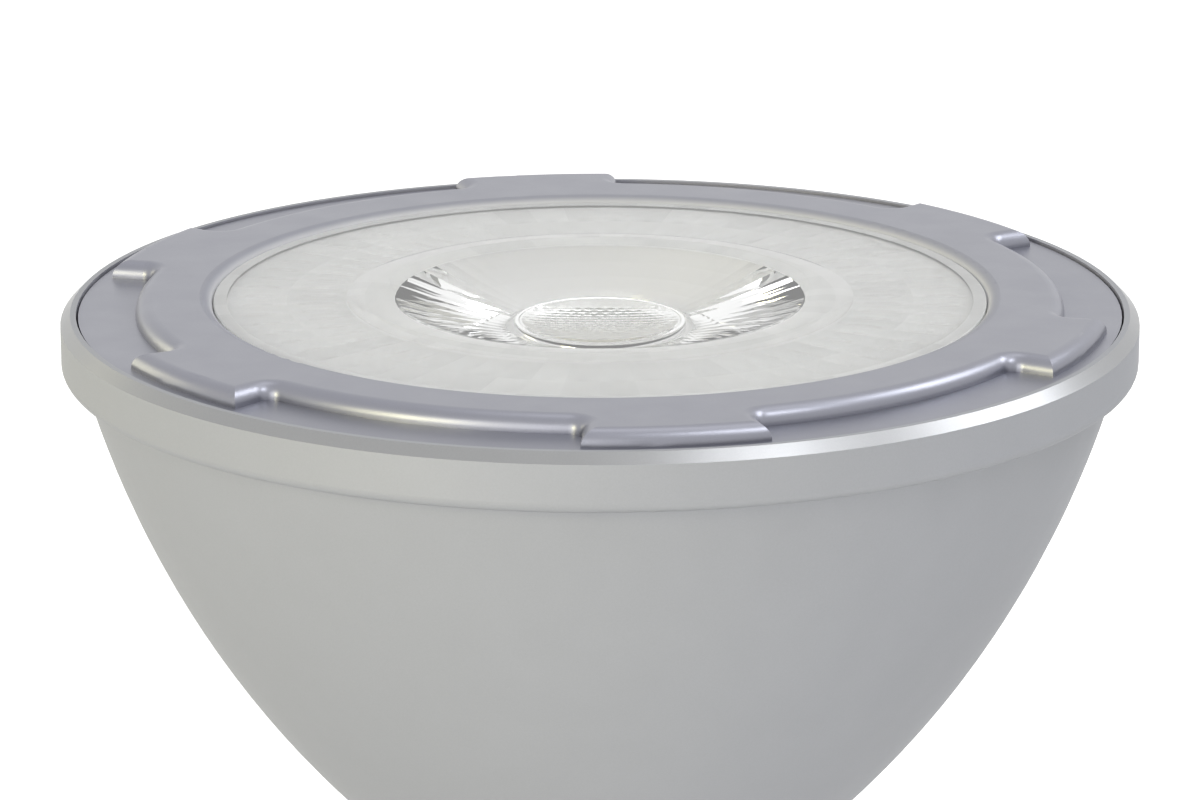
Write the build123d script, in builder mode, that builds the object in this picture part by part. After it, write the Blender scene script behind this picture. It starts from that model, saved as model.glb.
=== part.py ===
"""A reflector lamp with a screw base: a cast bowl, a stepped front bezel, a faceted collimating lens,
one light-emitting array on a heat spreader, and the mains driver in a plastic body above the base.

Millimetres. The lamp's axis is +Z, the tip contact stands on z = 0 and the light leaves upwards.
"""

import os
from math import cos, hypot, isclose, pi, radians, sin, sqrt

from build123d import *

# Overall
overall_length = 132.0
rim_radius = 60.5
fit_gap = 0.25

# Rim band of the bowl
rim_stand = 0.3
rim_chamfer = 1.1
rim_lip = 1.75
band_height = 6.5
band_round = 1.2
pocket_depth = 4.5

# Bowl
bowl_top_inset = 2.35
bowl_top_lean = 15.0
bowl_arc_radius = 113.7
bowl_wall = 2.2
floor_stand = 7.5
neck_radius = 21.0
neck_wall = 2.6
neck_length = 8.5
neck_blend = 8.0

# Bezel
land_height = 1.85
land_width = 8.65
land_round = 1.75
pad_margin = 1.3
pad_reach = 5.1
pad_count = 6
pad_angle = 20.0
pad_start = -92.0
pad_corner_round = 1.5
window_round = 1.5
ledge_thickness = 2.2
land_thickness = 2.84
skirt_width = 2.1
clip_angle = 8.0
clip_thickness = 1.4
clip_reach = 0.9
clip_barb_height = 1.8

# Lens
lens_set_back = 0.64
plateau_step = 1.7
flange_thickness = 2.5
flange_width = 3.4
plate_thickness = 1.2
plate_rim = 2.4
bead_radius = 22.9
bead_width = 5.6
bead_height = 0.35
collimator_radius = 23.3
collimator_depth = 14.0
collimator_end_radius = 10.6
collimator_facets = 60
collimator_rows = 5
foot_height = 1.6
entry_wall = 0.9
entry_depth = 4.6
entry_round = 0.8
entry_dome = 0.8

# Lens cup
lens_cup_gap = 0.6
lens_cup_wall = 1.2

# Gasket
gasket_thickness = 0.8

# Light source
lens_stand_off = 4.0
thermal_pad_thickness = 0.3
array_side = 20.0
array_thickness = 1.2
phosphor_radius = 6.5
phosphor_thickness = 0.6

# Array holder
holder_rim = 1.2
holder_web = 0.65
holder_edge = 2.3
holder_window_margin = 1.9

# Heat spreader
spreader_thickness = 3.0
spreader_ledge = 1.8
boss_radius = 3.2
boss_inset = 5.2
boss_count = 3
boss_start = 30.0
wire_hole_radius = 1.6
wire_hole_gap = 4.5

# Screws
screw_radius = 1.25
screw_head_radius = 2.4
screw_head_height = 1.6
screw_gap = 0.1
holder_screw_bite = 2.4
spreader_screw_bite = 6.0

# Base body
cup_wall = 1.4
cup_headroom = 11.0
barb_rise = 0.8
barb_height = 2.0
barb_angle = 24.0
barb_count = 3
collar_band = 7.0
collar_round = 12.0
collar_foot_step = 2.15
collar_foot_height = 2.0
stub_wall = 1.9
stub_length = 16.0

# Screw base
shell_top = 25.0
shell_radius = 13.05
shell_wall = 1.3
shell_shoulder = 8.4
shell_foot = 4.6
shell_foot_inset = 2.85
shell_lip = 1.8
shell_floor = 1.2
insulator_hole = 1.0
tip_radius = 4.8
tip_height = 1.8
tip_round = 1.2

# Driver board
board_thickness = 1.6
board_margin = 1.25
board_stand = 2.4
tongue_margin = 2.1
tongue_length = 17.0
rail_reach = 2.0
rail_width = 1.4
lead_radius = 0.4
wire_radius = 0.7
wire_bend = 2.0
wire_lap = 3.0

# Driver parts on the front of the board
part_gap = 0.4
transformer_width = 16.0
transformer_height = 13.5
transformer_leg = 4.0
transformer_depth = 5.0
transformer_yoke = 2.6
winding_build = 3.0
output_cap_radius = 4.0
output_cap_length = 11.5
output_cap_offset = 8.5
output_cap_drop = 4.0
film_cap_width = 5.0
film_cap_depth = 8.0
film_cap_height = 10.5
film_cap_offset = 8.5
choke_radius = 3.8
choke_length = 9.0
choke_flange = 1.2
choke_waist = 0.8
varistor_radius = 4.0
varistor_thickness = 3.2
varistor_offset = 3.0
fuse_radius = 1.6
fuse_length = 6.5
fuse_offset = 4.2
input_cap_radius = 4.9
input_cap_length = 15.0
input_cap_gap = 1.0
input_cap_drop = 3.0
input_cap_pitch = 5.0
can_chamfer = 0.6

# Driver parts on the back of the board
rectifier_width = 6.5
rectifier_height = 4.8
rectifier_depth = 2.4
rectifier_rise = 6.0
switch_width = 6.6
switch_height = 6.1
switch_depth = 2.3
switch_drop = 16.0
chip_width = 4.0
chip_height = 5.0
chip_depth = 1.6
chip_drop = 7.0
leg_reach = 1.0
leg_thickness = 0.4

# Radii that follow from the fits, from the rim inwards
pocket_radius = rim_radius - rim_lip
bezel_radius = pocket_radius - fit_gap
pad_radius = bezel_radius - pad_margin
land_radius = pad_radius - pad_reach
window_radius = land_radius - land_width
plateau_radius = window_radius - fit_gap
flange_radius = plateau_radius + flange_width
plate_rim_radius = plateau_radius - plate_rim
clip_radius = flange_radius + fit_gap
holder_screw_ring = collimator_end_radius + fit_gap + holder_web + screw_head_radius
holder_radius = holder_screw_ring + screw_head_radius + holder_edge
holder_window_radius = phosphor_radius + holder_window_margin
neck_bore = neck_radius - neck_wall
cup_radius = neck_bore - fit_gap
cup_bore = cup_radius - cup_wall
shell_bore = shell_radius - shell_wall
shell_foot_radius = shell_radius - shell_foot_inset
insulator_top_radius = shell_foot_radius - shell_lip
stub_radius = shell_bore - fit_gap
throat_radius = stub_radius - stub_wall
collar_foot_radius = shell_radius + collar_foot_step
board_width = 2 * (cup_bore - board_margin)
tongue_width = 2 * (throat_radius - tongue_margin)
board_face = board_thickness / 2
wire_track = board_face + wire_radius
wire_offset = tongue_width / 2 - 1.5 * wire_radius

# Heights from the face down to the light source
face_z = overall_length
ledge_z = face_z - land_height
rim_top_z = ledge_z + rim_stand
band_bottom_z = rim_top_z - band_height
seat_z = rim_top_z - pocket_depth
lens_front_z = face_z - lens_set_back
flange_top_z = lens_front_z - plateau_step
flange_bottom_z = flange_top_z - flange_thickness
plate_under_z = lens_front_z - plate_thickness
collimator_end_z = plate_under_z - collimator_depth
lens_end_z = collimator_end_z - foot_height
gasket_top_z = flange_top_z + gasket_thickness
holder_top_z = lens_end_z + holder_rim
spreader_top_z = lens_end_z - lens_stand_off
spreader_bottom_z = spreader_top_z - spreader_thickness
array_bottom_z = spreader_top_z + thermal_pad_thickness
array_top_z = array_bottom_z + array_thickness

# Centre of the arc that the bowl's wall follows
bowl_centre_r = rim_radius - bowl_top_inset - bowl_arc_radius * cos(radians(bowl_top_lean))
bowl_centre_z = band_bottom_z + bowl_arc_radius * sin(radians(bowl_top_lean))


def bowl_radius(z, inset=0.0):
    """Radius of the bowl's wall at a height, measured inset from its outer face."""
    return bowl_centre_r + sqrt((bowl_arc_radius - inset) ** 2 - (z - bowl_centre_z) ** 2)


def bowl_height(radius, inset=0.0):
    """Height at which the bowl's wall has a radius, measured inset from its outer face."""
    return bowl_centre_z - sqrt((bowl_arc_radius - inset) ** 2 - (radius - bowl_centre_r) ** 2)


# Heights of the neck and of the driver, which stands on the base
bowl_end_z = bowl_height(neck_radius)
floor_z = bowl_end_z + floor_stand
neck_end_z = bowl_end_z - neck_length
cup_top_z = spreader_bottom_z - cup_headroom
stub_end_z = shell_top - stub_length
live_turn_z = stub_end_z + wire_bend
input_cap_bottom_z = live_turn_z + wire_radius + input_cap_gap
input_cap_top_z = input_cap_bottom_z + input_cap_length
tongue_end_z = input_cap_top_z + input_cap_drop
tongue_top_z = tongue_end_z + tongue_length
board_top_z = cup_top_z + board_stand
output_cap_top_z = board_top_z - output_cap_drop
output_cap_bottom_z = output_cap_top_z - output_cap_length
transformer_z = output_cap_bottom_z - part_gap - transformer_height

spreader_radius = bowl_radius(spreader_bottom_z, bowl_wall) - fit_gap
boss_ring = spreader_radius - boss_inset


def radial_plane(angle):
    """Upright plane through the lamp's axis, whose x runs outwards at an angle in degrees."""
    turn = radians(angle)
    return Plane(origin=(0, 0, 0), x_dir=(cos(turn), sin(turn), 0), z_dir=(sin(turn), -cos(turn), 0))


def turned(points, angle=0.0, arc=360.0, mode=Mode.ADD):
    """Turn an outline of radius and height points about the lamp's axis."""
    with BuildSketch(radial_plane(angle)) as outline:
        with BuildLine():
            Polyline(*points, close=True)
        make_face()
    revolve(outline.sketch, axis=Axis.Z, revolution_arc=arc, mode=mode)


def ring(inner, outer, bottom, top, mode=Mode.ADD):
    """A ring, or a disc where the inner radius is zero."""
    turned([(inner, bottom), (outer, bottom), (outer, top), (inner, top)], mode=mode)


def block(width, depth, height, x, y, bottom, mode=Mode.ADD):
    """An upright block centred on x and y."""
    with BuildSketch(Plane.XY.offset(bottom)) as outline:
        with Locations((x, y)):
            Rectangle(width, depth)
    extrude(outline.sketch, amount=height, mode=mode)


def post(radius, bottom, top, places, mode=Mode.ADD):
    """Upright round posts, or holes, at a list of places."""
    with BuildSketch(Plane.XY.offset(bottom)) as outline:
        with Locations(*places):
            Circle(radius)
    extrude(outline.sketch, amount=top - bottom, mode=mode)


def polar(radius, count, start):
    """Places evenly spaced round the lamp's axis."""
    angles = [radians(start + 360.0 * i / count) for i in range(count)]
    return [(radius * cos(a), radius * sin(a)) for a in angles]


def frustum(sections, sides, mode=Mode.ADD):
    """Flat facets between even polygons, given as radius and height."""
    outlines = []
    for radius, height in sections:
        with BuildSketch(Plane.XY.offset(height)) as outline:
            RegularPolygon(radius, sides)
        outlines.append(outline.sketch)
    loft(outlines, ruled=True, mode=mode)


def wire(points):
    """A round wire along straight runs with one bend radius."""
    with BuildLine() as route:
        FilletPolyline(*points, radius=wire_bend)
    with BuildSketch(Plane(origin=route.line @ 0, z_dir=route.line % 0)) as section:
        Circle(wire_radius)
    sweep(section.sketch, path=route.line)


boss_places = polar(boss_ring, boss_count, boss_start)
holder_screw_places = polar(holder_screw_ring, 2, 0.0)
wire_hole_x = holder_radius + wire_hole_gap
wire_hole_places = [(side * wire_hole_x, wire_track) for side in (-1, 1)]

os.makedirs("parts", exist_ok=True)

# Hollow of the bowl, which leaves the spreader's ledge and bosses standing on the wall
ledge_radius = spreader_radius - spreader_ledge
ledge_end_z = bowl_height(ledge_radius, bowl_wall)
boss_end_z = bowl_height(boss_ring - boss_radius, bowl_wall) - bowl_wall
hollow_top_radius = bowl_radius(seat_z, bowl_wall)
hollow_end_radius = bowl_radius(floor_z, bowl_wall)
with BuildPart() as bowl_hollow:
    with BuildSketch(Plane.XZ):
        with BuildLine():
            Polyline((hollow_top_radius, seat_z), (0, seat_z), (0, floor_z), (hollow_end_radius, floor_z))
            RadiusArc((hollow_top_radius, seat_z), (hollow_end_radius, floor_z), bowl_arc_radius - bowl_wall)
        make_face()
    revolve(axis=Axis.Z)
    ring(ledge_radius, rim_radius, ledge_end_z, spreader_bottom_z, mode=Mode.SUBTRACT)
    post(boss_radius, boss_end_z, spreader_bottom_z, boss_places, Mode.SUBTRACT)

# Bowl with its rim band, the seat of the bezel and the neck
bowl_top_radius = bowl_radius(band_bottom_z)
with BuildPart() as housing:
    with BuildSketch(Plane.XZ):
        with BuildLine():
            Polyline(
                (bowl_top_radius, band_bottom_z),
                (rim_radius, band_bottom_z),
                (rim_radius, rim_top_z),
                (0, rim_top_z),
                (0, neck_end_z),
                (neck_radius, neck_end_z),
                (neck_radius, bowl_end_z),
            )
            RadiusArc((bowl_top_radius, band_bottom_z), (neck_radius, bowl_end_z), bowl_arc_radius)
        make_face()
    revolve(axis=Axis.Z)
    edges = housing.edges().filter_by(GeomType.CIRCLE)
    fillet(edges.filter_by(lambda e: isclose(e.center().Z, bowl_end_z)), neck_blend)
    rim_edges = housing.edges().filter_by(GeomType.CIRCLE).filter_by(lambda e: isclose(e.radius, rim_radius))
    chamfer(rim_edges.sort_by(Axis.Z)[-1], rim_chamfer)
    rim_edges = housing.edges().filter_by(GeomType.CIRCLE).filter_by(lambda e: isclose(e.radius, rim_radius))
    fillet(rim_edges.sort_by(Axis.Z)[0], band_round)
    ring(0, pocket_radius, seat_z, rim_top_z, mode=Mode.SUBTRACT)
    add(bowl_hollow.part, mode=Mode.SUBTRACT)
    ring(0, neck_bore, neck_end_z, floor_z, mode=Mode.SUBTRACT)
    post(screw_radius, spreader_bottom_z - spreader_screw_bite, spreader_bottom_z, boss_places, Mode.SUBTRACT)
housing.part.label = "housing"
export_step(housing.part, "parts/housing.step")

# Bezel: a flat land that reaches out in even pads, the ledge round it, a skirt and the lens clips
clip_outer = clip_radius + clip_thickness
clip_bottom_z = flange_bottom_z - clip_barb_height
land_underside_z = face_z - land_thickness
ledge_underside_z = ledge_z - ledge_thickness
with BuildPart() as front_bezel:
    with BuildSketch(Plane.XY.offset(ledge_underside_z)) as land:
        with PolarLocations(0, pad_count, start_angle=pad_start):
            Polygon(
                (window_radius, 0),
                (2 * pad_radius, 0),
                (2 * pad_radius * cos(radians(pad_angle)), 2 * pad_radius * sin(radians(pad_angle))),
                (window_radius * cos(radians(pad_angle)), window_radius * sin(radians(pad_angle))),
                align=None,
            )
        Circle(pad_radius, mode=Mode.INTERSECT)
        Circle(land_radius)
        fillet(
            land.vertices().filter_by(lambda v: isclose(hypot(v.X, v.Y), land_radius)),
            pad_corner_round,
        )
    extrude(amount=face_z - ledge_underside_z)
    fillet(front_bezel.edges().group_by(Axis.Z)[-1], land_round)
    ring(0, bezel_radius, ledge_underside_z, ledge_z)
    ring(bezel_radius - skirt_width, bezel_radius, seat_z, ledge_underside_z)
    ring(0, clip_outer + clip_thickness, ledge_underside_z, land_underside_z, mode=Mode.SUBTRACT)
    ring(0, clip_radius, land_underside_z, gasket_top_z, mode=Mode.SUBTRACT)
    ring(0, window_radius, gasket_top_z, face_z, mode=Mode.SUBTRACT)
    window_edges = front_bezel.edges().filter_by(GeomType.CIRCLE).group_by(Axis.Z)[-1]
    fillet(window_edges.filter_by(lambda e: isclose(e.radius, window_radius)), window_round)
    for i in range(pad_count):
        turned(
            [
                (clip_radius, land_underside_z),
                (clip_outer, land_underside_z),
                (clip_outer, clip_bottom_z),
                (clip_radius, clip_bottom_z),
                (clip_radius - fit_gap - clip_reach, flange_bottom_z),
                (clip_radius, flange_bottom_z),
            ],
            angle=pad_start + (pad_angle - clip_angle) / 2 + 360.0 * (i + 0.5) / pad_count,
            arc=clip_angle,
        )
front_bezel.part.label = "front_bezel"
export_step(front_bezel.part, "parts/front_bezel.step")

# Lens: a thin plate with a rim and flange, a low bead on its front, and the faceted collimator behind it
collimator_rate = (collimator_radius**2 - collimator_end_radius**2) / collimator_depth
collimator_sections = []
for i in range(collimator_rows + 1):
    rise = collimator_depth * (i / collimator_rows) ** 2
    radius = sqrt(collimator_end_radius**2 + collimator_rate * rise)
    collimator_sections.append((radius, collimator_end_z + rise))
bead_edge = bead_radius + bead_width
bead_arc = ((bead_width / 2) ** 2 + bead_height**2) / (2 * bead_height)
entry_radius = collimator_end_radius - entry_wall
entry_top_z = lens_end_z + entry_depth
with BuildPart() as lens:
    frustum(collimator_sections, collimator_facets)
    ring(0, collimator_end_radius * cos(pi / collimator_facets), lens_end_z, collimator_end_z)
    ring(plate_rim_radius, flange_radius, flange_bottom_z, flange_top_z)
    ring(plate_rim_radius, plateau_radius, flange_top_z, plate_under_z)
    ring(0, plateau_radius, plate_under_z, lens_front_z)
    with BuildSketch(Plane.XZ):
        with BuildLine():
            Line((bead_radius, lens_front_z), (bead_edge, lens_front_z))
            RadiusArc((bead_radius, lens_front_z), (bead_edge, lens_front_z), bead_arc)
        make_face()
    revolve(axis=Axis.Z)
    with BuildSketch(Plane.XZ) as entry:
        with BuildLine():
            Polyline(
                (0, entry_top_z - entry_dome),
                (0, lens_end_z),
                (entry_radius, lens_end_z),
                (entry_radius, entry_top_z),
            )
            entry_arc = (entry_radius**2 + entry_dome**2) / (2 * entry_dome)
            RadiusArc((0, entry_top_z - entry_dome), (entry_radius, entry_top_z), -entry_arc)
        make_face()
        fillet(entry.vertices().filter_by(lambda v: isclose(v.Z, entry_top_z)), entry_round)
    revolve(axis=Axis.Z, mode=Mode.SUBTRACT)
lens.part.label = "lens"
export_step(lens.part, "parts/lens.step")

# White cup that stands on the array's holder, close round the collimator
cup_inside = [(radius + lens_cup_gap, height - fit_gap) for radius, height in collimator_sections]
cup_inside.insert(0, (collimator_end_radius + lens_cup_gap, holder_top_z))
cup_outside = [(radius + lens_cup_wall, height) for radius, height in cup_inside]
with BuildPart() as lens_cup:
    turned(cup_inside + cup_outside[::-1])
lens_cup.part.label = "lens_cup"
export_step(lens_cup.part, "parts/lens_cup.step")

# Gasket between the lens flange and the bezel's lip
with BuildPart() as lens_gasket:
    ring(plateau_radius + fit_gap, flange_radius - fit_gap, flange_top_z, gasket_top_z)
lens_gasket.part.label = "lens_gasket"
export_step(lens_gasket.part, "parts/lens_gasket.step")

# Heat spreader on the bowl's ledge
with BuildPart() as heat_spreader:
    ring(0, spreader_radius, spreader_bottom_z, spreader_top_z)
    post(screw_radius + screw_gap, spreader_bottom_z, spreader_top_z, boss_places, Mode.SUBTRACT)
    post(screw_radius, spreader_bottom_z, spreader_top_z, holder_screw_places, Mode.SUBTRACT)
    post(wire_hole_radius, spreader_bottom_z, spreader_top_z, wire_hole_places, Mode.SUBTRACT)
heat_spreader.part.label = "heat_spreader"
export_step(heat_spreader.part, "parts/heat_spreader.step")

with BuildPart() as spreader_screws:
    post(screw_radius, spreader_bottom_z - spreader_screw_bite, spreader_top_z, boss_places)
    post(screw_head_radius, spreader_top_z, spreader_top_z + screw_head_height, boss_places)
spreader_screws.part.label = "spreader_screws"
export_step(spreader_screws.part, "parts/spreader_screws.step")

# Light-emitting array on its thermal pad
with BuildPart() as thermal_pad:
    block(array_side, array_side, thermal_pad_thickness, 0, 0, spreader_top_z)
thermal_pad.part.label = "thermal_pad"
export_step(thermal_pad.part, "parts/thermal_pad.step")

with BuildPart() as array_board:
    block(array_side, array_side, array_thickness, 0, 0, array_bottom_z)
array_board.part.label = "array_board"
export_step(array_board.part, "parts/array_board.step")

with BuildPart() as phosphor_disc:
    ring(0, phosphor_radius, array_top_z, array_top_z + phosphor_thickness)
    chamfer(phosphor_disc.edges().group_by(Axis.Z)[-1], phosphor_thickness / 2)
phosphor_disc.part.label = "phosphor_disc"
export_step(phosphor_disc.part, "parts/phosphor_disc.step")

# Holder that clamps the array and centres the lens's small end
pocket_side = array_side + 2 * fit_gap
holder_head_z = holder_top_z - screw_head_height
with BuildPart() as array_holder:
    ring(0, holder_radius, spreader_top_z, holder_top_z)
    block(pocket_side, pocket_side, array_top_z - spreader_top_z, 0, 0, spreader_top_z, Mode.SUBTRACT)
    ring(0, holder_window_radius, array_top_z, lens_end_z, mode=Mode.SUBTRACT)
    ring(0, collimator_end_radius + fit_gap, lens_end_z, holder_top_z, mode=Mode.SUBTRACT)
    post(screw_radius + screw_gap, spreader_top_z, holder_top_z, holder_screw_places, Mode.SUBTRACT)
    post(screw_head_radius + screw_gap, holder_head_z, holder_top_z, holder_screw_places, Mode.SUBTRACT)
array_holder.part.label = "array_holder"
export_step(array_holder.part, "parts/array_holder.step")

with BuildPart() as holder_screws:
    post(screw_radius, spreader_top_z - holder_screw_bite, holder_head_z, holder_screw_places)
    post(screw_head_radius, holder_head_z, holder_top_z, holder_screw_places)
holder_screws.part.label = "holder_screws"
export_step(holder_screws.part, "parts/holder_screws.step")

# Base body: the driver cup in the neck, the collar under it and the stub inside the screw shell
collar_cone_z = neck_end_z - collar_band
taper_top_z = tongue_top_z - fit_gap
neutral_z = (shell_shoulder + shell_top) / 2
with BuildPart() as base_body:
    with BuildSketch(Plane.XZ) as collar:
        with BuildLine():
            Polyline(
                (0, stub_end_z),
                (stub_radius, stub_end_z),
                (stub_radius, shell_top),
                (collar_foot_radius, shell_top),
                (collar_foot_radius, shell_top + collar_foot_height),
                (neck_radius, collar_cone_z),
                (neck_radius, neck_end_z),
                (cup_radius, neck_end_z),
                (cup_radius, cup_top_z),
                (0, cup_top_z),
                close=True,
            )
        make_face()
        fillet(collar.vertices().filter_by(lambda v: isclose(v.Z, collar_cone_z)), collar_round)
    revolve(axis=Axis.Z)
    turned(
        [
            (0, stub_end_z),
            (throat_radius, stub_end_z),
            (throat_radius, shell_top + collar_foot_height),
            (cup_bore, taper_top_z),
            (cup_bore, cup_top_z),
            (0, cup_top_z),
        ],
        mode=Mode.SUBTRACT,
    )
    for i in range(barb_count):
        turned(
            [
                (cup_radius - cup_wall / 2, floor_z),
                (neck_bore + barb_rise, floor_z),
                (cup_radius, floor_z + barb_height),
                (cup_radius - cup_wall / 2, floor_z + barb_height),
            ],
            angle=360.0 * i / barb_count,
            arc=barb_angle,
        )
    rail_inner = board_width / 2 - rail_reach
    rail_outer = sqrt((cup_bore + cup_wall / 2) ** 2 - (board_face + fit_gap + rail_width) ** 2)
    for side in (-1, 1):
        for face in (-1, 1):
            block(
                rail_outer - rail_inner,
                rail_width,
                cup_top_z - taper_top_z,
                side * (rail_outer + rail_inner) / 2,
                face * (board_face + fit_gap + rail_width / 2),
                taper_top_z,
            )
    with BuildSketch(Plane.YZ.offset(throat_radius - stub_wall)):
        with Locations((wire_track, neutral_z)):
            Circle(wire_radius + screw_gap)
    extrude(amount=3 * stub_wall, mode=Mode.SUBTRACT)
base_body.part.label = "base_body"
export_step(base_body.part, "parts/base_body.step")

# Screw shell, its insulator and the tip contact
with BuildPart() as screw_shell:
    turned(
        [
            (insulator_top_radius, shell_foot),
            (shell_foot_radius, shell_foot),
            (shell_radius, shell_shoulder),
            (shell_radius, shell_top),
            (shell_bore, shell_top),
            (shell_bore, shell_shoulder),
            (shell_foot_radius - shell_floor / 3, shell_foot + shell_floor),
            (insulator_top_radius, shell_foot + shell_floor),
        ]
    )
screw_shell.part.label = "screw_shell"
export_step(screw_shell.part, "parts/screw_shell.step")

with BuildPart() as tip_insulator:
    turned(
        [
            (insulator_hole, tip_height),
            (tip_radius, tip_height),
            (insulator_top_radius, shell_foot),
            (insulator_top_radius, shell_foot + shell_floor),
            (insulator_hole, shell_foot + shell_floor),
        ]
    )
tip_insulator.part.label = "tip_insulator"
export_step(tip_insulator.part, "parts/tip_insulator.step")

with BuildPart() as tip_contact:
    ring(0, tip_radius, 0, tip_height)
    fillet(tip_contact.edges().group_by(Axis.Z)[0], tip_round)
tip_contact.part.label = "tip_contact"
export_step(tip_contact.part, "parts/tip_contact.step")

# Driver board, with a tongue that reaches into the collar
with BuildPart() as driver_board:
    block(board_width, board_thickness, board_top_z - tongue_top_z, 0, 0, tongue_top_z)
    block(tongue_width, board_thickness, tongue_length, 0, 0, tongue_end_z)
driver_board.part.label = "driver_board"
export_step(driver_board.part, "parts/driver_board.step")

# Transformer: a core with two windows, and the winding on its middle leg
window_width = (transformer_width - 2 * transformer_yoke - transformer_leg) / 2
window_height = transformer_height - 2 * transformer_yoke
winding_depth = transformer_depth + 2 * winding_build
winding_y = board_face + winding_depth / 2
window_x = (transformer_leg + window_width) / 2
window_z = transformer_z + transformer_yoke
with BuildPart() as transformer_core:
    block(transformer_width, transformer_depth, transformer_height, 0, winding_y, transformer_z)
    for x in (-window_x, window_x):
        block(window_width, transformer_depth, window_height, x, winding_y, window_z, Mode.SUBTRACT)
transformer_core.part.label = "transformer_core"
export_step(transformer_core.part, "parts/transformer_core.step")

winding_width = transformer_leg + 2 * (window_width - fit_gap)
with BuildPart() as transformer_winding:
    block(winding_width, winding_depth, window_height - 2 * fit_gap, 0, winding_y, window_z + fit_gap)
    fillet(transformer_winding.edges().filter_by(Axis.Z), window_width / 2)
    block(transformer_leg, transformer_depth, window_height, 0, winding_y, window_z, Mode.SUBTRACT)
transformer_winding.part.label = "transformer_winding"
export_step(transformer_winding.part, "parts/transformer_winding.step")

# Capacitors
with BuildPart() as output_capacitor:
    output_cap_places = [(output_cap_offset, board_face + output_cap_radius)]
    post(output_cap_radius, output_cap_bottom_z, output_cap_top_z, output_cap_places)
    chamfer(output_capacitor.edges().filter_by(GeomType.CIRCLE), can_chamfer)
output_capacitor.part.label = "output_capacitor"
export_step(output_capacitor.part, "parts/output_capacitor.step")

with BuildPart() as film_capacitor:
    block(
        film_cap_width,
        film_cap_depth,
        film_cap_height,
        -film_cap_offset,
        board_face + film_cap_depth / 2,
        output_cap_bottom_z,
    )
    chamfer(film_capacitor.edges().filter_by(Axis.Y), can_chamfer)
film_capacitor.part.label = "film_capacitor"
export_step(film_capacitor.part, "parts/film_capacitor.step")

with BuildPart() as input_capacitor:
    post(input_cap_radius, input_cap_bottom_z, input_cap_top_z, [(0, 0)])
    chamfer(input_capacitor.edges().filter_by(GeomType.CIRCLE), can_chamfer)
    input_lead_places = [(side * input_cap_pitch / 2, board_face + lead_radius) for side in (-1, 1)]
    post(lead_radius, input_cap_top_z, tongue_end_z + wire_lap, input_lead_places)
input_capacitor.part.label = "input_capacitor"
export_step(input_capacitor.part, "parts/input_capacitor.step")

# Choke, a waisted drum
choke_y = board_face + choke_radius
with BuildPart() as choke:
    post(choke_radius - choke_waist, board_top_z - choke_length, board_top_z, [(0, choke_y)])
    for bottom in (board_top_z - choke_length, board_top_z - choke_flange):
        post(choke_radius, bottom, bottom + choke_flange, [(0, choke_y)])
choke.part.label = "choke"
export_step(choke.part, "parts/choke.step")

# Varistor disc and fuse resistor on the tongue
varistor_z = tongue_top_z - part_gap - varistor_radius
with BuildPart() as varistor:
    with BuildSketch(Plane.XZ.offset(-board_face)):
        with Locations((-varistor_offset, varistor_z)):
            Circle(varistor_radius)
    extrude(amount=-varistor_thickness)
varistor.part.label = "varistor"
export_step(varistor.part, "parts/varistor.step")

with BuildPart() as fuse_resistor:
    fuse_top_z = tongue_top_z - part_gap
    post(fuse_radius, fuse_top_z - fuse_length, fuse_top_z, [(fuse_offset, board_face + fuse_radius)])
fuse_resistor.part.label = "fuse_resistor"
export_step(fuse_resistor.part, "parts/fuse_resistor.step")


# Flat packages on the back of the board
def package(width, depth, height, bottom):
    """A moulded package with a row of legs on each side, against the back of the board."""
    block(width, depth, height, 0, -board_face - depth / 2, bottom)
    leg_width = width + 2 * leg_reach
    leg_y = -board_face - leg_thickness / 2
    leg_pitch = height / 4
    for i in (1, 3):
        block(leg_width, leg_thickness, leg_thickness, 0, leg_y, bottom + i * leg_pitch - leg_thickness / 2)


with BuildPart() as bridge_rectifier:
    package(rectifier_width, rectifier_depth, rectifier_height, tongue_end_z + rectifier_rise)
bridge_rectifier.part.label = "bridge_rectifier"
export_step(bridge_rectifier.part, "parts/bridge_rectifier.step")

with BuildPart() as power_switch:
    package(switch_width, switch_depth, switch_height, board_top_z - switch_drop - switch_height)
power_switch.part.label = "power_switch"
export_step(power_switch.part, "parts/power_switch.step")

with BuildPart() as control_chip:
    package(chip_width, chip_depth, chip_height, board_top_z - chip_drop - chip_height)
control_chip.part.label = "control_chip"
export_step(control_chip.part, "parts/control_chip.step")

# Leads from the board up through the spreader to the array holder
lead_over_z = board_top_z - 1.5 * wire_radius
lead_in_z = (spreader_top_z + holder_top_z) / 2


def array_lead(side):
    """One lead, on the plus or the minus side of the lamp."""
    wire(
        [
            (side * (board_width / 2 - wire_lap), wire_track, lead_over_z),
            (side * wire_hole_x, wire_track, lead_over_z),
            (side * wire_hole_x, wire_track, lead_in_z),
            (side * sqrt(holder_radius**2 - (wire_track - wire_radius) ** 2), wire_track, lead_in_z),
        ]
    )


with BuildPart() as led_wire_positive:
    array_lead(-1)
led_wire_positive.part.label = "led_wire_positive"
export_step(led_wire_positive.part, "parts/led_wire_positive.step")

with BuildPart() as led_wire_negative:
    array_lead(1)
led_wire_negative.part.label = "led_wire_negative"
export_step(led_wire_negative.part, "parts/led_wire_negative.step")

# Leads from the tongue to the tip contact and to the screw shell
with BuildPart() as live_wire:
    wire(
        [
            (-wire_offset, wire_track, tongue_end_z + wire_lap),
            (-wire_offset, wire_track, live_turn_z),
            (0, 0, live_turn_z),
            (0, 0, tip_height),
        ]
    )
live_wire.part.label = "live_wire"
export_step(live_wire.part, "parts/live_wire.step")

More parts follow.
